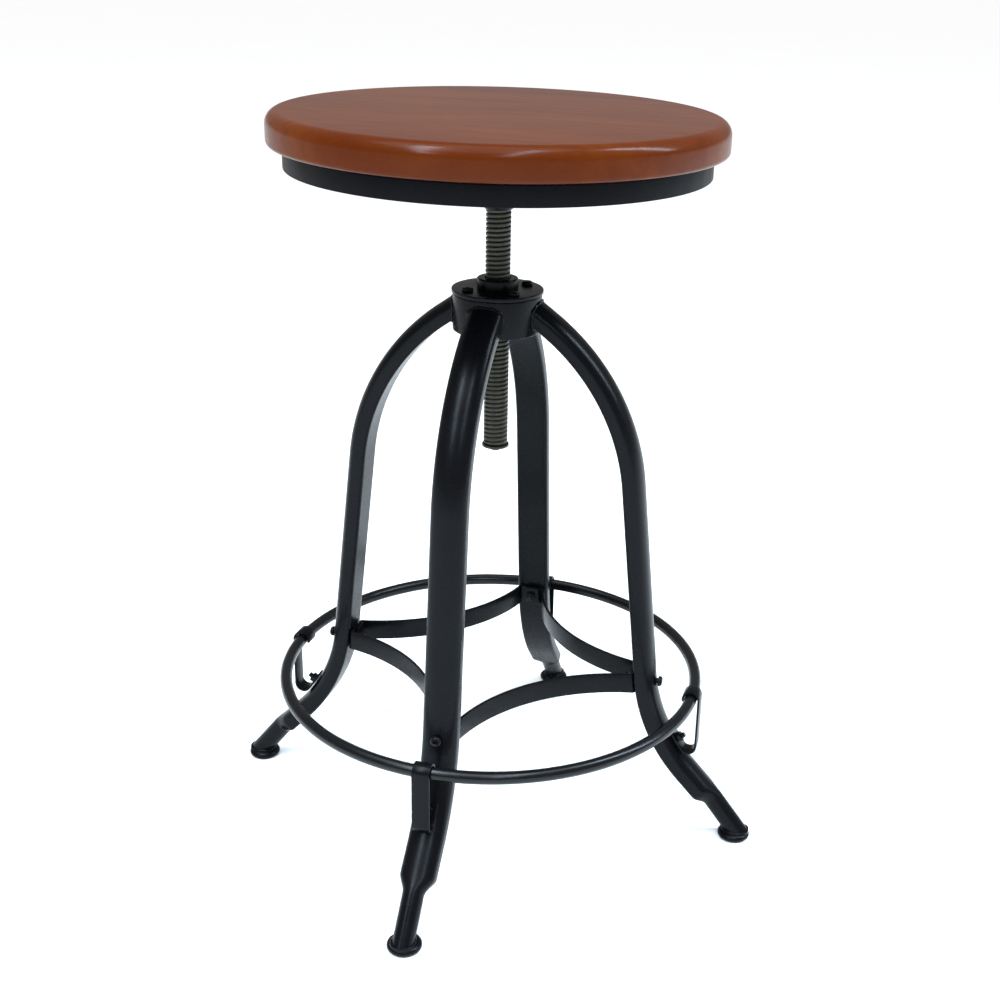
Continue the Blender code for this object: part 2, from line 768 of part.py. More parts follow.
def bracket_mesh():
    """One bracket: a flat strip from the foot ring down to the leg."""
    path = bracket_path()
    rings = []
    for i, (x, z) in enumerate(path):
        before, after = path[max(i - 1, 0)], path[min(i + 1, len(path) - 1)]
        along = Vector((after[0] - before[0], 0, after[1] - before[1])).normalized()
        across = Vector((-along.z, 0, along.x)) * BRACKET_THICKNESS / 2
        ring = []
        for side, face in ((-0.5, -1), (0.5, -1), (0.5, 1), (-0.5, 1)):
            ring.append(Vector((x, side * BRACKET_WIDTH, z)) + face * across)
        rings.append(ring)
    mesh = finish_mesh("ring_bracket", loft(rings))
    return cut(mesh, stand_on_leg(rod_shape(STUD_RADIUS + HOLE_GAP, -0.001, 0.004, 10), 0))


def stand_on_leg(shape, rise):
    """Move an upright shape so that it stands on the leg's crown, this far above it."""
    crown, out, down = crown_frame(STUD_LEVEL)
    turn = Matrix((down, Vector((0, 1, 0)), out)).transposed()
    if turn.determinant() < 0:
        turn = Matrix((down, Vector((0, -1, 0)), out)).transposed()
    bmesh.ops.rotate(shape, verts=shape.verts, cent=(0, 0, 0), matrix=turn)
    bmesh.ops.translate(shape, verts=shape.verts, vec=crown + out * rise)
    return shape


def bracket_stud_mesh():
    """The stud welded to the leg's outer face."""
    shape = stand_on_leg(rod_shape(STUD_RADIUS, 0, STUD_LENGTH, 10), GAP)
    return finish_mesh("bracket_stud", shape)


def bracket_nut_mesh():
    """The nut that holds the bracket on its stud."""
    shape = hex_nut(NUT_HALF_WIDTH, STUD_RADIUS + HOLE_GAP, NUT_HEIGHT)
    rise = 2 * GAP + BRACKET_THICKNESS
    return finish_mesh("bracket_nut", stand_on_leg(shape, rise))


# ---------------------------------------------------------------- assembly

def build():
    """Make every piece and hang it on the body that it moves with."""
    clear_scene()
    wood = make_material("stained_wood", (0.36, 0.10, 0.02), 0.35, 0.0)
    black = make_material("black_powder_coat", (0.022, 0.024, 0.028), 0.42, 0.2)
    steel = make_material("oiled_steel", (0.10, 0.098, 0.082), 0.45, 0.9)
    frame = make_empty("frame_axis", 0.0)
    lift = make_empty("lift_axis", 0.0)
    seat = make_empty("seat_axis", 0.0)
    seat.parent = lift

    place("wood_seat", wood_seat_mesh(), wood, seat)
    place("seat_pan", seat_pan_mesh(), black, seat)
    place("seat_flange", seat_flange_mesh(), black, seat)
    place("screw_rod", screw_rod_mesh(), steel, seat)
    place("stop_screw", stop_screw_mesh(), steel, seat)
    place("stop_washer", stop_washer_mesh(), steel, lift)

    place("hub_body", hub_body_mesh(), black, frame)
    place("hub_plate", hub_plate_mesh(), black, frame)
    place("hub_nut", hub_nut_mesh(), black, frame)
    place("foot_ring", foot_ring_mesh(), black, frame)

    repeated = (
        ("leg", leg_mesh(), black),
        ("foot", foot_mesh(), black),
        ("brace", brace_mesh(), black),
        ("brace_bolt", brace_bolt_mesh(), black),
        ("brace_nut", brace_nut_mesh(), black),
        ("ring_bracket", bracket_mesh(), black),
        ("bracket_stud", bracket_stud_mesh(), black),
        ("bracket_nut", bracket_nut_mesh(), black),
    )
    for kind, mesh, material in repeated:
        for name, angle in zip(LEG_NAMES, LEG_ANGLES):
            place(f"{kind}_{name}", mesh, material, frame, angle)
    for kind, mesh, parent in (
        ("seat_screw", seat_screw_mesh(), seat),
        ("hub_screw", hub_screw_mesh(), frame),
    ):
        for number, angle in enumerate(SCREW_ANGLES, 1):
            place(f"{kind}_{number}", mesh, black, parent, angle)


build()
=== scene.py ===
"""Looks of the adjustable swivel stool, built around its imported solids. Metres, +Z up."""
import math
import bmesh
import bpy
from mathutils import Matrix, Vector, noise


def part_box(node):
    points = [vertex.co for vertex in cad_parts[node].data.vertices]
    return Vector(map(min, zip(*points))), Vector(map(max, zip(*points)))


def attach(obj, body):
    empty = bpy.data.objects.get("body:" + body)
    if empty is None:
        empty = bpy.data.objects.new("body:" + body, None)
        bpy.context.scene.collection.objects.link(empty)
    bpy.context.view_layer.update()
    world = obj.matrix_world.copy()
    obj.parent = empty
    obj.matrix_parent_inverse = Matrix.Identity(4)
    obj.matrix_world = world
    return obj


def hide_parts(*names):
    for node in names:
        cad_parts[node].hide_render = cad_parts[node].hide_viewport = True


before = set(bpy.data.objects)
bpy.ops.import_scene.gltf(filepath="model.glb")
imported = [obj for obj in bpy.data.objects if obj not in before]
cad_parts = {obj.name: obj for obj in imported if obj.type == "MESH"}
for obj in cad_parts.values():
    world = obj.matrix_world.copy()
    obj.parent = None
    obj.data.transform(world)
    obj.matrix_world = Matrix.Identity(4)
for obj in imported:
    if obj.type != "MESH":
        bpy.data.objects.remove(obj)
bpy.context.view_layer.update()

LEGS = (("right", 0.0), ("back", 0.5 * math.pi), ("left", math.pi), ("front", -0.5 * math.pi))
SCREW_ANGLES = [angle + 0.25 * math.pi for _, angle in LEGS]
SMOOTH = math.radians(32)
UP = Vector((0, 0, 1))

# Driving dimensions that the solids' boxes don't give
SEAT_TOP_ROUND = 0.010
SEAT_BOTTOM_ROUND = 0.0035
PAN_WALL = 0.0018
PAN_BEND = 0.003
FLANGE_THICKNESS = 0.004
FLANGE_BORE = 0.0104
BOSS_RADIUS = 0.0132
THREAD_PITCH = 0.0037
THREAD_DEPTH = 0.0011
NUT_BARREL = 0.0125
LEG_WIDTH = 0.029
LEG_DEPTH = 0.0171
LEG_CROWN = 0.0085
LEG_CORNER = 0.0028
LEG_START = (0.0445, 0.4502)
LEG_START_SLOPE = math.radians(35.5)
LEG_TOP_BEND = 0.1836
LEG_FLARE = math.radians(6.2)
LEG_RUN = 0.174
LEG_LOW_BEND = 0.148
LEG_LOW_SLOPE = math.radians(46.5)
SWAGE_TOP = 0.0455
SWAGE_BOTTOM = 0.0345
STUB_RADIUS = 0.00875
STUB_SLOPE = math.radians(51.5)
STUB_SHIFT = 0.0005
BRACE_HEIGHT = 0.018
BRACE_THICKNESS = 0.0025
BRACE_CORNER = 0.002
BRACE_TAB_REACH = 0.0055
BRACE_STEP = (0.0093, 0.0063)
BRACE_BOW_CENTRE = 0.1595
BRACE_BOW_RADIUS = 0.1515
RING_TUBE = 0.0052
BRACKET_WIDTH = 0.0146
BRACKET_THICKNESS = 0.002
HOOK_START = math.radians(195)
HOOK_GAP = 0.0007
FLAP_LOW = 0.0765
FLAP_HIGH = 0.0905
STUD_LEVEL = 0.0845
STUD_RADIUS = 0.0023
GAP = 0.0003

# Camera: where it stands, where it looks and its lens
CAMERA_BEARING = math.radians(16.84)
CAMERA_DISTANCE = 1.1356
CAMERA_HEIGHT = 0.7533
CAMERA_YAW = 0.0500
CAMERA_PITCH = 0.3854
CAMERA_ROLL = 0.0335
CAMERA_LENS = 52.0
CAMERA_SHIFT = -0.0615
SENSOR_WIDTH = 36.0

# Wood: the boards' width, and how far their grain turns from the camera's bearing
BOARD_WIDTH = 0.071
GRAIN_TURN = math.radians(4)

# Paint: the darker and lighter tone of the powder coat
PAINT_DARK = (0.0022, 0.0023, 0.0031)
PAINT_LIGHT = (0.0031, 0.0033, 0.0042)

# Studio
FLOOR_SIZE = 60.0
STRIP_HEIGHT = 2.1
STRIP_COLOUR = (0.70, 0.87, 1.0)
SKY_ANGLE = math.radians(60)
SURROUND_STRENGTH = 0.36


# ---------------------------------------------------------------- mesh helpers

def arc(centre, radius, start, end, steps):
    """Points on an arc, both ends included."""
    points = []
    for i in range(steps + 1):
        angle = start + (end - start) * i / steps
        points.append((centre[0] + radius * math.cos(angle), centre[1] + radius * math.sin(angle)))
    return points


def lathe(profile, steps, closed=False):
    """Spin a profile of (radius, height) points about Z; a closed one goes round a bore."""
    shape = bmesh.new()
    verts = [shape.verts.new((radius, 0.0, height)) for radius, height in profile]
    pairs = list(zip(verts, verts[1:]))
    if closed:
        pairs.append((verts[-1], verts[0]))
    edges = [shape.edges.new(pair) for pair in pairs]
    bmesh.ops.spin(
        shape, geom=verts + edges, cent=(0, 0, 0), axis=(0, 0, 1),
        angle=2 * math.pi, steps=steps, use_merge=True,
    )
    return shape


def loft(rings, closed=False):
    """Join rings of points into a tube, with end caps or closed on itself."""
    shape = bmesh.new()
    loops = [[shape.verts.new(point) for point in ring] for ring in rings]
    count = len(loops[0])
    if closed:
        loops.append(loops[0])
    for near, far in zip(loops, loops[1:]):
        for i in range(count):
            j = (i + 1) % count
            shape.faces.new((near[i], near[j], far[j], far[i]))
    if not closed:
        shape.faces.new(loops[0])
        shape.faces.new(loops[-1])
    return shape


def make_mesh(name, shape, sharp=SMOOTH):
    """A mesh with outward faces and smooth round sides."""
    bmesh.ops.remove_doubles(shape, verts=shape.verts, dist=1e-6)
    bmesh.ops.recalc_face_normals(shape, faces=shape.faces)
    mesh = bpy.data.meshes.new(name)
    shape.to_mesh(mesh)
    shape.free()
    mesh.shade_smooth()
    mesh.set_sharp_from_angle(angle=sharp)
    return mesh


def combine(mesh, tool, operation, sharp=SMOOTH):
    """Boolean of two meshes; the tool is used up."""
    body = bpy.data.objects.new("body", mesh)
    other = bpy.data.objects.new("tool", tool)
    for thing in (body, other):
        bpy.context.scene.collection.objects.link(thing)
    boolean = body.modifiers.new("Boolean", "BOOLEAN")
    boolean.operation = operation
    boolean.solver = "EXACT"
    boolean.object = other
    bpy.context.view_layer.update()
    seen = body.evaluated_get(bpy.context.evaluated_depsgraph_get())
    result = bpy.data.meshes.new_from_object(seen)
    bpy.data.objects.remove(body)
    bpy.data.objects.remove(other)
    bpy.data.meshes.remove(tool)
    result.name = mesh.name
    result.materials.clear()
    result.shade_smooth()
    result.set_sharp_from_angle(angle=sharp)
    return result


def turned(shape, angle, axis):
    """The shape turned about an axis through the origin."""
    turn = Matrix.Rotation(angle, 3, axis)
    bmesh.ops.rotate(shape, verts=shape.verts, cent=(0, 0, 0), matrix=turn)
    return shape


def moved(shape, offset):
    """The shape moved by an offset."""
    bmesh.ops.translate(shape, verts=shape.verts, vec=offset)
    return shape


def merged(shapes):
    """Several shapes in one, as separate shells."""
    whole = bmesh.new()
    for shape in shapes:
        mesh = bpy.data.meshes.new("shell")
        bmesh.ops.recalc_face_normals(shape, faces=shape.faces)
        shape.to_mesh(mesh)
        shape.free()
        whole.from_mesh(mesh)
        bpy.data.meshes.remove(mesh)
    return whole


def rounded_profile(corners, radius, steps=3):
    """A closed (radius, height) outline with every corner rounded; a third value overrides it."""
    points = []
    count = len(corners)
    for i, corner in enumerate(corners):
        here = Vector(corner[:2])
        size = corner[2] if len(corner) > 2 else radius
        back = (Vector(corners[i - 1][:2]) - here)
        ahead = (Vector(corners[(i + 1) % count][:2]) - here)
        reach = min(size, 0.45 * back.length, 0.45 * ahead.length)
        if size == 0 or here.x == 0:
            points.append(tuple(here))
            continue
        start, end = here + back.normalized() * reach, here + ahead.normalized() * reach
        for k in range(steps + 1):
            t = k / steps
            curve = (1 - t) ** 2 * start + 2 * t * (1 - t) * here + t * t * end
            points.append(tuple(curve))
    return points


def weld_bead(path, radius, seed, sides=8):
    """A lumpy closed bead that follows a loop of points."""
    rings = []
    count = len(path)
    centre = sum((Vector(p) for p in path), Vector()) / count
    for i, point in enumerate(path):
        here = Vector(point)
        along = (Vector(path[(i + 1) % count]) - Vector(path[i - 1])).normalized()
        outward = (here - centre)
        outward = (outward - along * outward.dot(along)).normalized()
        side = along.cross(outward)
        ripple = 1 + 0.12 * math.sin(0.9 * i + seed)
        ring = []
        for k in range(sides):
            angle = 2 * math.pi * k / sides
            offset = (outward * math.cos(angle) + side * math.sin(angle)) * radius * ripple
            lump = noise.noise((here + offset) * 350 + UP * seed) * 0.28 * radius
            ring.append(here + offset + offset.normalized() * lump)
        rings.append(ring)
    return loft(rings, closed=True)


# ---------------------------------------------------------------- materials

class Nodes:
    """Short ways to add and join a material's nodes."""

    def __init__(self, name):
        self.material = bpy.data.materials.new(name)
        self.material.use_nodes = True
        self.tree = self.material.node_tree
        self.shader = self.tree.nodes["Principled BSDF"]
        self.place = self.add("ShaderNodeTexCoord").outputs["Object"]

    def add(self, kind, **settings):
        """A node with some of its properties set."""
        node = self.tree.nodes.new(kind)
        for name, value in settings.items():
            setattr(node, name, value)
        return node

    def join(self, source, target):
        """Link an output to an input."""
        self.tree.links.new(source, target)

    def stretched(self, scale, turn=0.0):
        """Object coordinates turned about Z and scaled."""
        mapping = self.add("ShaderNodeMapping")
        mapping.inputs["Rotation"].default_value = (0, 0, turn)
        mapping.inputs["Scale"].default_value = scale
        self.join(self.place, mapping.inputs["Vector"])
        return mapping.outputs["Vector"]

    def noise(self, vector, scale, detail=3.0, rough=0.55, distortion=0.0):
        """A noise texture's factor."""
        node = self.add("ShaderNodeTexNoise")
        node.inputs["Scale"].default_value = scale
        node.inputs["Detail"].default_value = detail
        node.inputs["Roughness"].default_value = rough
        node.inputs["Distortion"].default_value = distortion
        self.join(vector, node.inputs["Vector"])
        return node.outputs["Fac"]

    def remap(self, value, low, high, new_low, new_high):
        """A value mapped from one range to another and clamped."""
        node = self.add("ShaderNodeMapRange")
        for name, number in (
            ("From Min", low), ("From Max", high), ("To Min", new_low), ("To Max", new_high)
        ):
            node.inputs[name].default_value = number
        self.join(value, node.inputs["Value"])
        return node.outputs["Result"]

    def mix(self, factor, first, second, blend="MIX"):
        """Two colours, or linked colours, mixed by a factor."""
        node = self.add("ShaderNodeMix", data_type="RGBA", blend_type=blend)
        for socket, value in ((node.inputs[6], first), (node.inputs[7], second)):
            if isinstance(value, tuple):
                socket.default_value = (*value, 1.0)
            else:
                self.join(value, socket)
        if isinstance(factor, float):
            node.inputs[0].default_value = factor
        else:
            self.join(factor, node.inputs[0])
        return node.outputs[2]

    def math(self, operation, first, second):
        """A math node with a linked first value."""
        node = self.add("ShaderNodeMath", operation=operation)
        self.join(first, node.inputs[0])
        if isinstance(second, (int, float)):
            node.inputs[1].default_value = second
        else:
            self.join(second, node.inputs[1])
        return node.outputs[0]

    def bump(self, heights):
        """Bumps of (height, distance in metres), the last one outermost."""
        normal = None
        for height, distance in heights:
            node = self.add("ShaderNodeBump")
            node.inputs["Distance"].default_value = distance
            node.inputs["Strength"].default_value = 1.0
            self.join(height, node.inputs["Height"])
            if normal:
                self.join(normal, node.inputs["Normal"])
            normal = node.outputs["Normal"]
        return normal

    def set(self, **values):
        """Values or links for the shader's own sockets."""
        for name, value in values.items():
            socket = self.shader.inputs[name.replace("_", " ")]
            if isinstance(value, bpy.types.NodeSocket):
                self.join(value, socket)
            elif isinstance(value, tuple):
                socket.default_value = (*value, 1.0)
            else:
                socket.default_value = value


def black_coat(name, dark, light, smooth, rough, peel, ior):
    """Black powder coat: slightly mottled, with an orange-peel surface."""
    nodes = Nodes(name)
    mottle = nodes.noise(nodes.place, 22.0, 4.0)
    cloud = nodes.noise(nodes.place, 60.0, 3.0)
    skin = nodes.noise(nodes.place, 650.0, 2.0)
    grit = nodes.noise(nodes.place, 2600.0, 2.0)
    nodes.set(
        Base_Color=nodes.mix(nodes.remap(mottle, 0.35, 0.65, 0.0, 1.0), dark, light),
        Roughness=nodes.remap(cloud, 0.3, 0.7, smooth, rough),
        Normal=nodes.bump(((skin, peel), (grit, 0.15 * peel))),
        Metallic=0.0,
    )
    nodes.set(IOR=ior)
    return nodes.material


def lacquered_wood():
    """Orange-brown stained boards under a clear gloss lacquer."""
    nodes = Nodes("stained_wood")
    turn = -CAMERA_BEARING - GRAIN_TURN
    along = nodes.stretched((1.0, 1.0, 1.0), turn)
    parts = nodes.add("ShaderNodeSeparateXYZ")
    nodes.join(along, parts.inputs["Vector"])
    board = nodes.math("FLOOR", nodes.math("DIVIDE", parts.outputs["Y"], BOARD_WIDTH), 0.0)
    tone = nodes.add("ShaderNodeTexWhiteNoise", noise_dimensions="1D")
    nodes.join(board, tone.inputs["W"])
    stain = nodes.noise(nodes.stretched((5.0, 16.0, 9.0), turn), 1.0, 4.0, 0.6, 0.6)
    figure = nodes.noise(nodes.stretched((9.0, 120.0, 70.0), turn), 1.0, 5.0, 0.6, 0.4)
    pores = nodes.noise(nodes.stretched((45.0, 1500.0, 900.0), turn), 1.0, 2.0, 0.6)
    deep, bright = (0.068, 0.0105, 0.0008), (0.106, 0.0205, 0.0014)
    colour = nodes.mix(nodes.remap(stain, 0.33, 0.68, 0.0, 1.0), deep, bright)
    colour = nodes.mix(nodes.remap(figure, 0.42, 0.72, 0.0, 0.34), colour, (0.056, 0.0080, 0.0008))
    colour = nodes.mix(
        nodes.remap(tone.outputs["Value"], 0.0, 1.0, 0.0, 0.16), colour, (0.060, 0.0100, 0.0009)
    )
    dark_pores = nodes.remap(pores, 0.62, 0.74, 0.0, 0.4)
    colour = nodes.mix(dark_pores, colour, (0.030, 0.0050, 0.0008))
    nodes.set(
        Base_Color=colour,
        Roughness=nodes.remap(figure, 0.3, 0.7, 0.42, 0.54),
        Normal=nodes.bump(((pores, 0.00002), (figure, 0.00004))),
        Metallic=0.0,
    )
    nodes.set(Specular_IOR_Level=0.02, Coat_Weight=0.6, Coat_IOR=1.22, Coat_Roughness=0.17)
    return nodes.material


def oiled_steel():
    """Dark steel, darker in the thread roots and lighter on the crests."""
    nodes = Nodes("oiled_steel")
    parts = nodes.add("ShaderNodeSeparateXYZ")
    nodes.join(nodes.place, parts.inputs["Vector"])
    square = nodes.math("MULTIPLY", parts.outputs["X"], parts.outputs["X"])
    square = nodes.math(
        "ADD", square, nodes.math("MULTIPLY", parts.outputs["Y"], parts.outputs["Y"])
    )
    # The colour grades from darker at the thread roots to lighter at the crests, by radius alone.
    crest = nodes.remap(nodes.math("SQRT", square, 0.0), 0.0090, 0.0098, 0.0, 1.0)
    grime = nodes.noise(nodes.place, 90.0, 5.0, 0.65)
    streaks = nodes.noise(nodes.stretched((60.0, 60.0, 900.0)), 1.0, 3.0)
    bare = nodes.mix(crest, (0.014, 0.013, 0.009), (0.042, 0.040, 0.031))
    colour = nodes.mix(nodes.remap(grime, 0.40, 0.66, 0.0, 0.65), bare, (0.026, 0.024, 0.016))
    nodes.set(
        Base_Color=colour,
        Roughness=nodes.remap(grime, 0.3, 0.7, 0.34, 0.52),
        Normal=nodes.bump(((streaks, 0.00003), (grime, 0.00006))),
        Metallic=0.6,
    )
    nodes.set(Specular_IOR_Level=0.25)
    return nodes.material


# ---------------------------------------------------------------- pieces

def place(name, mesh, material, body, nodes, angle=0.0):
    """Add a piece that stands for CAD nodes and rides on their body."""
    thing = bpy.data.objects.new(name, mesh)
    thing.rotation_euler.z = angle
    bpy.context.scene.collection.objects.link(thing)
    if not mesh.materials:
        mesh.materials.append(material)
    bpy.context.view_layer.update()
    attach(thing, body)
    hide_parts(*nodes)
    return thing


def cross_recess(width, depth):
    """A tapered cross for a screw head, its mouth at height 0."""
    blades = []
    for turn in (0.0, 0.5 * math.pi):
        half, thick = width / 2, width / 9
        top = [(half, thick), (-half, thick), (-half, -thick), (half, -thick)]
        ring_top = [(x, y, 0.0004) for x, y in top]
        ring_low = [(0.42 * x, 0.6 * y, -depth) for x, y in top]
        blades.append(turned(loft([ring_top, ring_low]), turn, "Z"))
    return blades


def screw_mesh(name, shank, head, height, length):
    """A pan-head screw with a cross recess: head above height 0, shank below."""
    profile = [(0, -length), (shank - 0.0005, -length), (shank, -length + 0.0006), (shank, 0)]
    profile += [(head - 0.0002, 0), (head, 0.0003), (head, 0.35 * height)]
    dome = arc((head - 0.62 * height, 0.38 * height), 0.62 * height, 0, 0.42 * math.pi, 6)
    profile += dome + [(0.3 * head, height), (0, height)]
    mesh = make_mesh(name, lathe(profile, 40))
    for blade in cross_recess(1.15 * head, 0.55 * height):
        mesh = combine(mesh, make_mesh("blade", moved(blade, UP * height)), "DIFFERENCE")
    return mesh


def thread_mesh(name, radius, depth, pitch, bottom, top, chamfer, around=40):
    """A threaded rod: a right-hand helix trimmed by a chamfered cylinder."""
    outline = ((0.0, 0.0), (0.50, 0.0), (0.56, 0.08), (0.65, 0.86), (0.71, 1.0),
               (0.82, 1.0), (0.88, 0.86), (0.96, 0.08))
    per_turn = len(outline)
    turns = int((top - bottom) / pitch) + 5
    start = bottom - 2.5 * pitch
    shape = bmesh.new()
    columns = []
    for i in range(around):
        angle = 2 * math.pi * i / around
        column = []
        for j in range(turns * per_turn + 1):
            phase, sink = outline[j % per_turn]
            reach = radius - depth * sink
            height = start + pitch * (j // per_turn + phase + i / around)
            column.append(shape.verts.new(
                (reach * math.cos(angle), reach * math.sin(angle), height)
            ))
        columns.append(column)
    rows = turns * per_turn
    for i in range(around - 1):
        for j in range(rows):
            shape.faces.new((
                columns[i][j], columns[i + 1][j], columns[i + 1][j + 1], columns[i][j + 1]
            ))
    first, last = columns[0], columns[-1]
    for j in range(rows - per_turn):
        shape.faces.new((
            last[j], first[j + per_turn], first[j + per_turn + 1], last[j + 1]
        ))
    low = [column[0] for column in columns] + first[per_turn::-1][:-1]
    high_step = last[rows - per_turn:][::-1]
    high = [column[rows] for column in columns] + high_step[1:]
    for loop, level in ((low, start + 0.2 * pitch), (high, start + turns * pitch)):
        hub = shape.verts.new((0, 0, level))
        for near, far in zip(loop, loop[1:] + loop[:1]):
            if near is not far:
                shape.faces.new((hub, near, far))
    edge = radius + 0.001
    trim = [
        (0, bottom), (radius - chamfer, bottom), (edge, bottom + chamfer + 0.001),
        (edge, top - chamfer - 0.001), (radius - chamfer, top), (0, top),
    ]
    mesh = make_mesh(name, shape, math.radians(50))
    return combine(mesh, make_mesh("trim", lathe(trim, 64)), "INTERSECT", math.radians(50))


def hex_nut_mesh(name, half_width, bore, height):
    """A hexagon nut on height 0 with chamfered corners."""
    corner = half_width / math.cos(math.pi / 6)
    rings = []
    for level in (-0.001, height + 0.001):
        rings.append([
            (corner * math.cos(math.pi * i / 3), corner * math.sin(math.pi * i / 3), level)
            for i in range(6)
        ])
    prism = make_mesh(name, loft(rings))
    rise = 0.3 * (corner - half_width) + 0.0002
    trim = [
        (bore, 0.0004), (bore + 0.0004, 0), (half_width - 0.0001, 0), (corner + 0.0004, rise),
        (corner + 0.0004, height - rise), (half_width - 0.0001, height),
        (bore + 0.0004, height), (bore, height - 0.0004),
    ]
    return combine(prism, make_mesh("trim", lathe(trim, 48, True)), "INTERSECT")


# ---------------------------------------------------------------- seat

def wood_seat():
    """The turned wooden disc."""
    low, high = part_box("wood_seat")
    radius = high[0]
    bottom = arc(
        (radius - SEAT_BOTTOM_ROUND, low[2] + SEAT_BOTTOM_ROUND), SEAT_BOTTOM_ROUND,
        -math.pi / 2, 0, 8,
    )
    top = arc(
        (radius - SEAT_TOP_ROUND, high[2] - SEAT_TOP_ROUND), SEAT_TOP_ROUND, 0, math.pi / 2, 20
    )
    inner = [(0.06, high[2]), (0, high[2])]
    profile = [(0, low[2]), (0.06, low[2])] + bottom + top + inner
    mesh = make_mesh("wood_seat_turned", lathe(profile, 192))
    place("seat_board", mesh, lacquered_wood(), "seat", ["wood_seat"])


def seat_pan(coat):
    """The pressed pan with its turned-down rim."""
    low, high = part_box("seat_pan")
    radius, top, bottom = high[0], high[2], low[2]
    outline = [
        (radius - PAN_WALL, bottom), (radius, bottom), (radius, top, PAN_BEND), (0, top),
        (0, top - PAN_WALL), (radius - PAN_WALL, top - PAN_WALL, PAN_BEND - PAN_WALL),
    ]
    shape = lathe(rounded_profile(outline, 0.0004, 4), 192, True)
    bmesh.ops.dissolve_degenerate(shape, edges=shape.edges, dist=1e-6)
    place("pan", make_mesh("pan", shape), coat, "seat", ["seat_pan"])


def seat_flange(coat):
    """The flange and its boss, with a weld round the rod."""
    low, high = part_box("seat_flange")
    top, bottom, radius = high[2], low[2], high[0]
    plate = top - FLANGE_THICKNESS
    outline = [
        (FLANGE_BORE, top), (FLANGE_BORE, bottom), (FLANGE_BORE + 0.0008, bottom),
        (BOSS_RADIUS, bottom + 0.004, 0.001), (BOSS_RADIUS + 0.0014, plate - 0.006, 0.004),
        (BOSS_RADIUS + 0.007, plate, 0.004), (radius, plate), (radius, top),
    ]
    mesh = make_mesh("flange", lathe(rounded_profile(outline, 0.0006, 4), 96, True))
    place("flange", mesh, coat, "seat", ["seat_flange"])


def seat_screws(metal):
    """The screws under the flange."""
    low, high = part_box("seat_screw_1")
    head_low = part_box("seat_flange")[1][2] - FLANGE_THICKNESS - GAP
    circle = 0.5 * (low[0] + high[0]) * math.sqrt(2)
    mesh = screw_mesh(
        "seat_screw", 0.0023, 0.0048, head_low - low[2], high[2] - head_low
    )
    shape = bmesh.new()
    shape.from_mesh(mesh)
    turned(shape, math.pi, "X")
    moved(shape, Vector((circle, 0, head_low)))
    mesh = make_mesh("seat_screw", shape)
    for number, angle in enumerate(SCREW_ANGLES, 1):
        place(
            f"pan_screw_{number}", mesh, metal, "seat",
            [f"seat_screw_{number}"], angle,
        )


def rod_and_stop(steel):
    """The threaded rod, its stop washer and the screw under it."""
    low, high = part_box("screw_rod")
    mesh = thread_mesh(
        "rod", high[0], THREAD_DEPTH, THREAD_PITCH, low[2], high[2], 0.0012, around=56
    )
    place("threaded_rod", mesh, steel, "seat", ["screw_rod"])
    low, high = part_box("stop_washer")
    outline = [(0.0029, low[2]), (high[0], low[2]), (high[0], high[2]), (0.0029, high[2])]
    mesh = make_mesh("washer", lathe(rounded_profile(outline, 0.0003), 64, True))
    place("rod_washer", mesh, steel, "stop_washer", ["stop_washer"])
    seat = low[2] - GAP
    low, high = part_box("stop_screw")
    mesh = screw_mesh("stop", 0.0025, high[0], seat - low[2], high[2] - seat)
    shape = bmesh.new()
    shape.from_mesh(mesh)
    turned(shape, math.pi, "X")
    mesh = make_mesh("stop", moved(shape, UP * seat))
    place("rod_screw", mesh, steel, "seat", ["stop_screw"])


# ---------------------------------------------------------------- hub

def hub(coat, metal):
    """Hub body, cover plate, flanged nut and screws."""
    bore = NUT_BARREL + 0.0004
    for node, edge in (("hub_body", 0.001), ("hub_plate", 0.0007)):
        low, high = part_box(node)
        outline = [
            (bore, high[2]), (bore, low[2]), (high[0], low[2]), (high[0], high[2]),
        ]
        mesh = make_mesh(node, lathe(rounded_profile(outline, edge, 4), 128, True))
        place(f"{node}_turned", mesh, coat, "frame", [node])
    low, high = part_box("hub_nut")
    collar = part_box("hub_plate")[1][2] + GAP
    outline = [
        (FLANGE_BORE, high[2], 0.0012), (FLANGE_BORE, low[2], 0.0008), (NUT_BARREL, low[2]),
        (NUT_BARREL, collar, 0.0), (high[0], collar, 0.0), (high[0], high[2], 0.0014),
    ]
    mesh = make_mesh("nut", lathe(rounded_profile(outline, 0.0004, 4), 96, True))
    place("flanged_nut", mesh, coat, "frame", ["hub_nut"])
    low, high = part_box("hub_screw_1")
    circle = 0.5 * (low[0] + high[0]) * math.sqrt(2)
    mesh = screw_mesh("hub_screw", 0.002, 0.00465, high[2] - collar, collar - low[2])
    shape = bmesh.new()
    shape.from_mesh(mesh)
    mesh = make_mesh("hub_screw", moved(shape, Vector((circle, 0, collar))))
    for number, angle in enumerate(SCREW_ANGLES, 1):
        place(
            f"plate_screw_{number}", mesh, metal, "frame",
            [f"hub_screw_{number}"], angle,
        )


# ---------------------------------------------------------------- legs

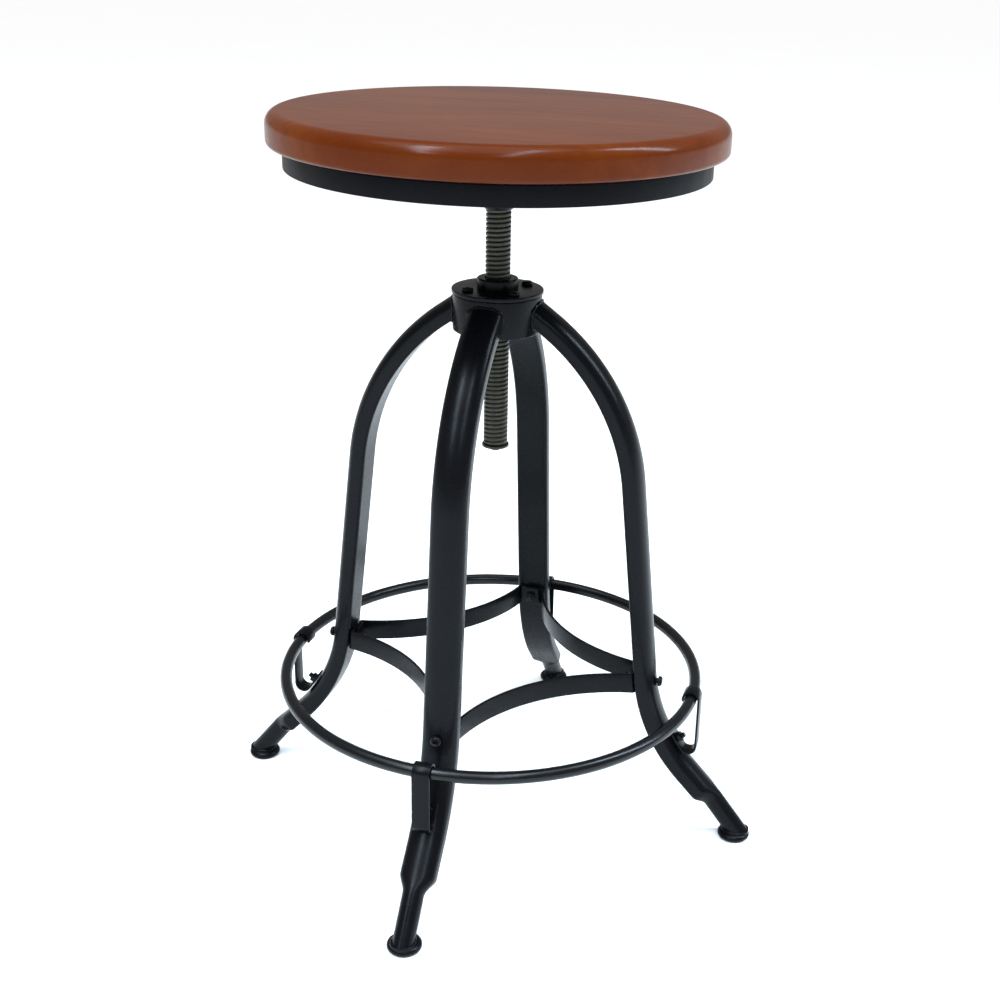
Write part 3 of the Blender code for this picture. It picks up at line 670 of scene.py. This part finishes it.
def leg_stations(top_steps=6, low_steps=4, run_steps=1):
    """The leg's middle line as (radius, height, slope below horizontal), top to bottom."""
    run_slope = math.pi / 2 - LEG_FLARE
    stations = [(*LEG_START, LEG_START_SLOPE)]

    def bend(bend_radius, end_slope, steps):
        """Follow an arc from the last station to the end slope."""
        radius, height, slope = stations[-1]
        turn = (end_slope - slope) / steps
        side = math.copysign(bend_radius, turn)
        x, z = radius - side * math.sin(slope), height - side * math.cos(slope)
        for i in range(1, steps + 1):
            here = slope + turn * i
            stations.append((x + side * math.sin(here), z + side * math.cos(here), here))

    bend(LEG_TOP_BEND, run_slope, top_steps)
    for _ in range(run_steps):
        radius, height, slope = stations[-1]
        step = LEG_RUN / run_steps
        stations.append((
            radius + step * math.cos(slope), height - step * math.sin(slope), slope
        ))
    bend(LEG_LOW_BEND, LEG_LOW_SLOPE, low_steps)
    return stations


FINE_STATIONS = leg_stations(48, 32, 24)


def station_at(height):
    """The leg's middle line at a height between the hub and the foot."""
    last = FINE_STATIONS[-1]
    if height <= last[1]:
        return (last[0] + (last[1] - height) / math.tan(last[2]), height, last[2])
    for upper, lower in zip(FINE_STATIONS, FINE_STATIONS[1:]):
        if lower[1] <= height <= upper[1]:
            part = (upper[1] - height) / (upper[1] - lower[1])
            return tuple(a + part * (b - a) for a, b in zip(upper, lower))
    raise ValueError(height)


def d_section(flat=12, corner=5, crown=24):
    """The D-shaped section as (outward, sideways) points about its middle."""
    half_depth, half_width = LEG_DEPTH / 2, LEG_WIDTH / 2
    shoulder = half_depth - LEG_CROWN
    points = []
    for i in range(crown + 1):
        angle = math.pi * i / crown
        points.append((
            shoulder + LEG_CROWN * math.sin(angle), half_width * math.cos(angle)
        ))
    left = [(shoulder - 0.3 * half_depth, -half_width)]
    left += [
        (
            -half_depth + LEG_CORNER * (1 - math.sin(0.5 * math.pi * i / corner)),
            -half_width + LEG_CORNER * (1 - math.cos(0.5 * math.pi * i / corner)),
        )
        for i in range(corner + 1)
    ]
    inner = half_width - LEG_CORNER
    flat_points = [(-half_depth, -inner + 2 * inner * i / flat) for i in range(1, flat)]
    right = [(outward, -sideways) for outward, sideways in reversed(left)]
    return points + left + flat_points + right


def round_section(radius, shift):
    """A round section whose points follow those of the D."""
    points = []
    for outward, sideways in d_section():
        angle = math.atan2(outward / LEG_DEPTH, sideways / LEG_WIDTH)
        points.append((shift + radius * math.sin(angle), radius * math.cos(angle)))
    return points


def ring_at(station, section):
    """Section points square to the leg's middle line: X outward, Y sideways."""
    radius, height, slope = station
    return [
        (radius + outward * math.sin(slope), sideways, height + outward * math.cos(slope))
        for outward, sideways in section
    ]


def along_leg(point, step, slope):
    """A point moved down the leg by a step."""
    return (point[0] + step * math.cos(slope), point[1], point[2] - step * math.sin(slope))


def legs(coat):
    """Four legs of D-shaped tube, swaged to a round stub, with a weld at each end."""
    hub_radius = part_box("hub_body")[1][0]
    foot_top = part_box("foot_right")[1][2]
    section, stub = d_section(), round_section(STUB_RADIUS, STUB_SHIFT)
    first = FINE_STATIONS[0]
    cope = []
    for point in ring_at(first, section):
        reach = math.sqrt((hub_radius + 0.0002) ** 2 - point[1] ** 2)
        cope.append(along_leg(point, (reach - point[0]) / math.cos(first[2]), first[2]))
    rings = [cope]
    rings += [ring_at(station, section) for station in FINE_STATIONS]
    rings.append(ring_at(station_at(SWAGE_TOP), section))
    steps = 12
    for i in range(1, steps + 1):
        part = i / steps
        ease = part * part * (3 - 2 * part)
        radius, height, slope = station_at(SWAGE_TOP + part * (SWAGE_BOTTOM - SWAGE_TOP))
        slope += part * (STUB_SLOPE - slope)
        shape = [
            (a[0] + ease * (b[0] - a[0]), a[1] + ease * (b[1] - a[1]))
            for a, b in zip(section, stub)
        ]
        rings.append(ring_at((radius, height, slope), shape))
    bottom = []
    for point in rings[-1]:
        bottom.append(along_leg(point, (point[2] - foot_top) / math.sin(STUB_SLOPE), STUB_SLOPE))
    for part in (0.33, 0.67, 1.0):
        rings.append([Vector(a).lerp(Vector(b), part) for a, b in zip(rings[-1], bottom)])
    tube = loft(rings)
    hub_bead = weld_bead([Vector(point) - UP * 0.0002 for point in cope], 0.0013, 1.0)
    mesh = make_mesh("leg", merged([tube, hub_bead]), math.radians(40))
    for name, angle in LEGS:
        place(f"leg_tube_{name}", mesh, coat, "frame", [f"leg_{name}"], angle)
    return bottom


def feet(coat, stub_outline):
    """Button feet, each with a heavy weld round the leg's stub."""
    low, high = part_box("foot_right")
    radius = 0.5 * (high[1] - low[1])
    centre = 0.5 * (high[0] + low[0])
    height = high[2]
    profile = [(0, 0), (radius - 0.0028, 0)]
    profile += arc((radius - 0.0030, 0.0030), 0.0030, -0.45 * math.pi, 0.36 * math.pi, 10)
    profile += [(0.011, height - 0.0001), (0, height)]
    button = moved(lathe(profile, 72), Vector((centre, 0, 0)))
    lumps = [
        vert for vert in button.verts if vert.co.z > 0.4 * height
    ]
    for vert in lumps:
        vert.co.z -= 0.0003 * abs(noise.noise(vert.co * 420))
    outline = [Vector(point) for point in stub_outline[::2]]
    bead = weld_bead(outline, 0.0016, 4.0, 10)
    middle = Vector((centre, 0, 0))
    for vert in bead.verts:
        outward = (vert.co - middle) * Vector((1, 1, 0))
        if outward.length > radius - 0.0008:
            vert.co -= outward * (1 - (radius - 0.0008) / outward.length)
    mesh = make_mesh("foot", merged([button, bead]), math.radians(50))
    for name, angle in LEGS:
        place(f"foot_button_{name}", mesh, coat, "frame", [f"foot_{name}"],
              angle)


# ---------------------------------------------------------------- braces

def flat_bar(name, path, width, thickness, edge, plane):
    """A bar with rounded edges along (x, y, lean) points; plane maps (x, y, across) to space."""
    outline = rounded_profile(
        [(0.5 * width, -0.5 * thickness), (0.5 * width, 0.5 * thickness),
         (-0.5 * width, 0.5 * thickness), (-0.5 * width, -0.5 * thickness)], edge, 2,
    )
    rings = []
    for i, point in enumerate(path):
        before, after = path[max(i - 1, 0)], path[min(i + 1, len(path) - 1)]
        along = Vector((after[0] - before[0], after[1] - before[1])).normalized()
        side = Vector((-along.y, along.x))
        rings.append([
            plane(Vector(point[:2]) + side * offset, across, point, i)
            for across, offset in outline
        ])
    return make_mesh(name, loft(rings), math.radians(40))


def brace_bend(tab):
    """Where a tab at this radius bends into the bow: the side shift and how far it turns."""
    reach = BRACE_BOW_CENTRE - (tab - BRACE_CORNER)
    side = BRACE_BOW_CENTRE - math.sqrt((BRACE_BOW_RADIUS + BRACE_CORNER) ** 2 - reach * reach)
    return side, math.atan2(BRACE_BOW_CENTRE - side, reach)


def brace_path(level):
    """Middle line of a brace between the legs on +X and +Y, as (x, y, lean)."""
    middle = station_at(level)
    tab = middle[0] - LEG_DEPTH / 2 / math.sin(middle[2]) - GAP - BRACE_THICKNESS / 2
    stepped_tab = tab - BRACE_THICKNESS - GAP
    side, turn = brace_bend(tab)
    steps = 8
    turn_in = arc((tab - BRACE_CORNER, side), BRACE_CORNER, 0, turn, steps)
    bow_centre = (BRACE_BOW_CENTRE, BRACE_BOW_CENTRE)
    sweep = arc(bow_centre, BRACE_BOW_RADIUS, turn - math.pi, -math.pi / 2 - turn, 60)
    start = [(x, y, 1 - (i / steps) ** 2) for i, (x, y) in enumerate(turn_in)]
    path = [(tab, -BRACE_TAB_REACH, 1.0), (tab, 0.0, 1.0)] + start
    path += [(x, y, 0.0) for x, y in sweep[1:-1]]
    path += [(y, x, lean) for x, y, lean in reversed(start)]
    for i in range(7):
        ease = (1 - math.cos(math.pi * i / 6)) / 2
        x = BRACE_STEP[0] + (BRACE_STEP[1] - BRACE_STEP[0]) * i / 6
        path.append((x, tab + (stepped_tab - tab) * ease, 1.0))
    return path + [(0.0, stepped_tab, 1.0), (-BRACE_TAB_REACH, stepped_tab, 1.0)]


def braces(coat, metal):
    """The bowed braces with their bolts and nuts."""
    low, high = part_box("brace_right")
    level = 0.5 * (low[2] + high[2])
    path = brace_path(level)
    lean = 1 / math.tan(station_at(level)[2])

    def upright(spot, across, point, i):
        """A point of the bar, leaning with the leg at the tabs."""
        shift = -point[2] * lean * across
        outward = Vector((1, 0)) if i < len(path) / 2 else Vector((0, 1))
        spot = spot + outward * shift
        return (spot.x, spot.y, level + across)

    mesh = flat_bar("brace", path, BRACE_HEIGHT, BRACE_THICKNESS, 0.0006, upright)
    for name, angle in LEGS:
        place(f"brace_bar_{name}", mesh, coat, "frame", [f"brace_{name}"],
              angle)
    low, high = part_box("brace_bolt_right")
    head = high[2] - level
    head_height = 0.0034
    shank = high[0] - head_height - low[0]
    shape = bmesh.new()
    shape.from_mesh(screw_mesh("brace_bolt", 0.0025, head, head_height, shank))
    turned(shape, math.pi / 2, "Y")
    bolt = make_mesh("brace_bolt", moved(shape, Vector((high[0] - head_height, 0, level))))
    low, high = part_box("brace_nut_right")
    shape = bmesh.new()
    shape.from_mesh(hex_nut_mesh("brace_nut", 0.004, 0.0026, high[0] - low[0]))
    turned(shape, -math.pi / 2, "Y")
    nut = make_mesh("brace_nut", moved(shape, Vector((high[0], 0, level))))
    for name, angle in LEGS:
        place(f"bolt_{name}", bolt, metal, "frame", [f"brace_bolt_{name}"],
              angle)
        place(f"nut_{name}", nut, metal, "frame", [f"brace_nut_{name}"], angle)


# ---------------------------------------------------------------- foot ring and brackets

def foot_ring(coat):
    """The round-bar ring."""
    low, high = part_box("foot_ring")
    radius = high[0] - RING_TUBE
    level = 0.5 * (low[2] + high[2])
    profile = arc((radius, level), RING_TUBE, 0, 2 * math.pi, 28)[:-1]
    mesh = make_mesh("ring", lathe(profile, 240, True))
    place("foot_ring_bar", mesh, coat, "frame", ["foot_ring"])
    return radius, level


def crown_frame(height):
    """A point on the leg's crown beside its middle line, with the directions out and down."""
    radius, level, slope = station_at(height)
    out = Vector((math.sin(slope), 0, math.cos(slope)))
    down = Vector((math.cos(slope), 0, -math.sin(slope)))
    return Vector((radius, 0, level)) + out * LEG_DEPTH / 2, out, down


def bracket_path(ring_radius, ring_level):
    """Middle line of a bracket as (radius, height): hook, strap, bend and flap."""
    half = BRACKET_THICKNESS / 2
    hook = RING_TUBE + HOOK_GAP + half
    strap = ring_radius + hook
    flap = []
    for i in range(10):
        crown, out, _ = crown_frame(FLAP_LOW + (FLAP_HIGH - FLAP_LOW) * i / 9)
        flap.append(crown + out * (GAP + half))
    _, _, down = crown_frame(FLAP_LOW)
    tangent = (strap - flap[0].x) / down.x
    turn = math.pi - math.acos(-down.z)
    bend = tangent / math.tan(turn / 2)
    centre = (strap - bend, flap[0].z + down.z * tangent + tangent)
    points = arc((ring_radius, ring_level), hook, HOOK_START, 0, 32)
    strap_top, strap_end = points[-1][1], centre[1]
    points += [(strap, strap_top + (strap_end - strap_top) * i / 6) for i in range(1, 6)]
    points += arc(centre, bend, 0, -turn, 24)
    return points + [(point.x, point.z) for point in flap[1:]]


def brackets(coat, metal, ring_radius, ring_level):
    """Ring brackets with their studs and nuts."""
    def sideways(spot, across, point, i):
        """A point of the strip, which is bent in the leg's plane."""
        return (spot.x, across, spot.y)

    path = [(x, z, 0.0) for x, z in bracket_path(ring_radius, ring_level)]
    strip = flat_bar("bracket", path, BRACKET_WIDTH, BRACKET_THICKNESS, 0.0005, sideways)
    crown, out, down = crown_frame(STUD_LEVEL)
    stand = Matrix((-down, Vector((0, 1, 0)), out)).transposed()
    if stand.determinant() < 0:
        stand = Matrix((down, Vector((0, 1, 0)), out)).transposed()

    def stand_on_leg(mesh, rise):
        """The mesh moved so that it stands on the leg's crown."""
        shape = bmesh.new()
        shape.from_mesh(mesh)
        bmesh.ops.rotate(shape, verts=shape.verts, cent=(0, 0, 0), matrix=stand)
        return make_mesh(mesh.name, moved(shape, crown + out * rise))

    stud = stand_on_leg(
        thread_mesh("stud", STUD_RADIUS, 0.0004, 0.0008, 0, 0.0089, 0.0005, around=24), GAP
    )
    nut = stand_on_leg(
        hex_nut_mesh("bracket_nut", 0.004, STUD_RADIUS + 0.0001, 0.0034),
        2 * GAP + BRACKET_THICKNESS,
    )
    for name, angle in LEGS:
        place(f"bracket_{name}", strip, coat, "frame",
              [f"ring_bracket_{name}"], angle)
        place(f"stud_{name}", stud, metal, "frame",
              [f"bracket_stud_{name}"], angle)
        place(f"stud_nut_{name}", nut, metal, "frame",
              [f"bracket_nut_{name}"], angle)


# ---------------------------------------------------------------- studio

def floor():
    """A wide, plain pale floor."""
    shape = bmesh.new()
    bmesh.ops.create_grid(shape, x_segments=2, y_segments=2, size=FLOOR_SIZE)
    thing = bpy.data.objects.new("floor", make_mesh("floor", shape))
    nodes = Nodes("pale_floor")
    tint = nodes.noise(nodes.place, 3.0, 2.0)
    nodes.set(
        Base_Color=nodes.mix(tint, (0.97, 0.97, 0.97), (0.99, 0.99, 0.99)),
        Roughness=0.7,
        Specular_IOR_Level=0.1,
    )
    thing.data.materials.append(nodes.material)
    bpy.context.scene.collection.objects.link(thing)


def add_light(name, kind, energy, spot, target, **settings):
    """A light that looks from one point at another."""
    data = bpy.data.lights.new(name, kind)
    data.energy = energy
    for key, value in settings.items():
        setattr(data, key, value)
    light = bpy.data.objects.new(name, data)
    light.location = spot
    light.rotation_euler = (Vector(target) - Vector(spot)).to_track_quat("-Z", "Y").to_euler()
    bpy.context.scene.collection.objects.link(light)
    return light


def studio():
    """Soft light from above, three long level strips overhead, and a pale surround."""
    add_light("sky_panel", "SUN", 2.15, (-0.3, -0.5, 3.0), (0, 0, 0), angle=SKY_ANGLE)
    for name, energy, spot, bearing, width, length in (
        ("left_strip", 80.0, (-0.80, -1.8), -13.0, 0.24, 3.1),
        ("right_strip", 40.0, (0.72, -1.6), 12.5, 0.14, 2.8),
        ("back_strip", 150.0, (2.7, 0.8), -72.0, 0.34, 3.8),
    ):
        light = add_light(
            name, "AREA", energy, (*spot, STRIP_HEIGHT), (*spot, 0.0),
            shape="RECTANGLE", size=width, size_y=length, color=STRIP_COLOUR,
        )
        light.rotation_euler = (0, 0, math.radians(bearing))
    world = bpy.data.worlds.new("surround")
    world.use_nodes = True
    background = world.node_tree.nodes["Background"]
    background.inputs["Color"].default_value = (1.0, 1.0, 1.0, 1.0)
    background.inputs["Strength"].default_value = SURROUND_STRENGTH
    bpy.context.scene.world = world
    bpy.context.scene.view_settings.view_transform = "Standard"


def camera():
    """The camera, at the height and bearing from which the object is usually seen."""
    data = bpy.data.cameras.new("camera")
    data.lens = CAMERA_LENS
    data.sensor_width = SENSOR_WIDTH
    data.shift_x = CAMERA_SHIFT
    thing = bpy.data.objects.new("camera", data)
    heading = CAMERA_BEARING - CAMERA_YAW
    forward = Vector((
        -math.sin(heading) * math.cos(CAMERA_PITCH),
        math.cos(heading) * math.cos(CAMERA_PITCH),
        -math.sin(CAMERA_PITCH),
    ))
    level_right = Vector((math.cos(heading), math.sin(heading), 0))
    level_up = level_right.cross(forward)
    right = level_right * math.cos(CAMERA_ROLL) + level_up * math.sin(CAMERA_ROLL)
    up = level_up * math.cos(CAMERA_ROLL) - level_right * math.sin(CAMERA_ROLL)
    turn = Matrix((right, up, -forward)).transposed().to_4x4()
    spot = Vector((
        CAMERA_DISTANCE * math.sin(CAMERA_BEARING),
        -CAMERA_DISTANCE * math.cos(CAMERA_BEARING),
        CAMERA_HEIGHT,
    ))
    thing.matrix_world = Matrix.Translation(spot) @ turn
    bpy.context.scene.collection.objects.link(thing)
    bpy.context.scene.camera = thing


def build():
    """Every piece, then the studio."""
    coat = black_coat(
        "black_powder_coat", PAINT_DARK, PAINT_LIGHT, 0.26, 0.29, 0.00001, 1.19
    )
    ring_coat = black_coat(
        "black_ring_coat", PAINT_DARK, PAINT_LIGHT, 0.22, 0.30, 0.00001, 1.32
    )
    pan_coat = black_coat(
        "black_pan_coat", (0.0024, 0.0025, 0.0034), (0.0034, 0.0035, 0.0046), 0.40, 0.48,
        0.00002, 1.15,
    )
    metal = black_coat(
        "black_fasteners", (0.0025, 0.0026, 0.0034), (0.0050, 0.0052, 0.0062), 0.26, 0.38,
        0.00001, 1.22,
    )
    steel = oiled_steel()
    wood_seat()
    seat_pan(pan_coat)
    seat_flange(coat)
    seat_screws(metal)
    rod_and_stop(steel)
    hub(coat, metal)
    feet(coat, legs(coat))
    braces(coat, metal)
    brackets(coat, metal, *foot_ring(ring_coat))
    floor()
    studio()
    camera()


build()
